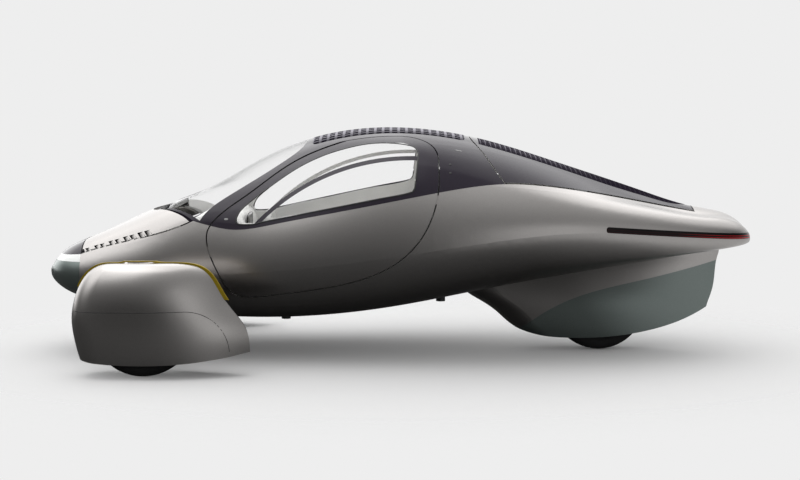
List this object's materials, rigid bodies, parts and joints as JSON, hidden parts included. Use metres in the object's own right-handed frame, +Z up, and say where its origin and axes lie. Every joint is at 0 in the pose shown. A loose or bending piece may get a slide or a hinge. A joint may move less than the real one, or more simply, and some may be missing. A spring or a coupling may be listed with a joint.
{
  "type": "solar car",
  "caption": "Teardrop solar electric car with two faired front wheels, one tail wheel, butterfly doors, hood, hatch and a bare two-seat cabin.",
  "frame": {"origin": "on the ground under the middle of the car's box", "axes": "+X to the nose, +Y to the left, +Z up"},
  "size_m": [4.366, 2.236, 1.3929],
  "materials": {
    "silver_paint": "satin metallic",
    "plum_gloss": "gloss",
    "slate_paint": "satin",
    "clear_glass": "clear",
    "solar_cells": "gloss with pale lines",
    "lamp_white": "gloss",
    "lamp_red": "gloss",
    "trim_gold": "gloss",
    "tyre": "matte",
    "rim": "satin",
    "running_gear": "satin",
    "seat": "matte",
    "cabin_trim": "matte",
    "floor_mat": "matte",
    "battery_case": "satin"
  },
  "bodies": {
    "chassis": {"lower_body": "silver_paint", "nose_cap": "slate_paint", "nose_panel": "plum_gloss", "light_bar": "lamp_white", "cowl": "plum_gloss", "windscreen": "clear_glass", "roof": "plum_gloss", "solar_roof": "solar_cells", "tail_lamp": "lamp_red", "rear_skirt": "slate_paint", "floor": "floor_mat", "battery": "battery_case", "seat_left": "seat", "seat_right": "seat", "dashboard": "cabin_trim", "console": "cabin_trim", "arms_left": "running_gear", "arms_right": "running_gear", "swing_arm": "running_gear", "jack_points": "running_gear"},
    "hood_lid": {"hood": "silver_paint"},
    "hatch_lid": {"hatch": "plum_gloss", "hatch_solar": "solar_cells"},
    "yoke": {"steering_yoke": "cabin_trim"},
    "wheel_rear": {"tyre_rear": "tyre", "rim_rear": "rim"},
    "door_left": {"door_panel_left": "silver_paint", "door_frame_left": "plum_gloss", "door_glass_left": "clear_glass"},
    "steer_left": {"knuckle_left": "running_gear", "pod_left": "silver_paint", "pod_skirt_left": "silver_paint", "pod_trim_left": "trim_gold"},
    "wheel_left": {"tyre_front_left": "tyre", "rim_front_left": "rim"},
    "door_right": {"door_panel_right": "silver_paint", "door_frame_right": "plum_gloss", "door_glass_right": "clear_glass"},
    "steer_right": {"knuckle_right": "running_gear", "pod_right": "silver_paint", "pod_skirt_right": "silver_paint", "pod_trim_right": "trim_gold"},
    "wheel_right": {"tyre_front_right": "tyre", "rim_front_right": "rim"}
  },
  "joints": [
    {"name": "steer_left", "type": "hinge", "parent": "chassis", "child": "steer_left", "pos_m": [1.459, 0.885, 0.295], "axis": [0, 0, 1], "range_deg": [-25, 25]},
    {"name": "spin_left", "type": "hinge", "parent": "steer_left", "child": "wheel_left", "pos_m": [1.459, 0.95, 0.295], "axis": [0, 1, 0], "continuous": true},
    {"name": "door_left", "type": "hinge", "parent": "chassis", "child": "door_left", "pos_m": [1.25, 0.61, 0.84], "axis": [0.7592, 0.1998, -0.6194], "range_deg": [0, 75]},
    {"name": "steer_right", "type": "hinge", "parent": "chassis", "child": "steer_right", "pos_m": [1.459, -0.885, 0.295], "axis": [0, 0, 1], "range_deg": [-25, 25]},
    {"name": "spin_right", "type": "hinge", "parent": "steer_right", "child": "wheel_right", "pos_m": [1.459, -0.95, 0.295], "axis": [0, 1, 0], "continuous": true},
    {"name": "door_right", "type": "hinge", "parent": "chassis", "child": "door_right", "pos_m": [1.25, -0.61, 0.84], "axis": [-0.7592, 0.1998, 0.6194], "range_deg": [0, 75]},
    {"name": "spin_rear", "type": "hinge", "parent": "chassis", "child": "wheel_rear", "pos_m": [-1.247, 0, 0.295], "axis": [0, 1, 0], "continuous": true},
    {"name": "hood_lift", "type": "hinge", "parent": "chassis", "child": "hood_lid", "pos_m": [1.225, 0, 0.855], "axis": [0, -1, 0], "range_deg": [0, 50]},
    {"name": "hatch_lift", "type": "hinge", "parent": "chassis", "child": "hatch_lid", "pos_m": [-0.43, 0, 1.335], "axis": [0, 1, 0], "range_deg": [0, 60]},
    {"name": "yoke_turn", "type": "hinge", "parent": "chassis", "child": "yoke", "pos_m": [0.79, 0.33, 0.8], "axis": [-1, 0, 0], "range_deg": [-200, 200]}
  ],
  "couplings": [
    {"joint": "steer_right", "follows": "steer_left", "ratio": 1},
    {"joint": "yoke_turn", "follows": "steer_left", "ratio": 8}
  ]
}
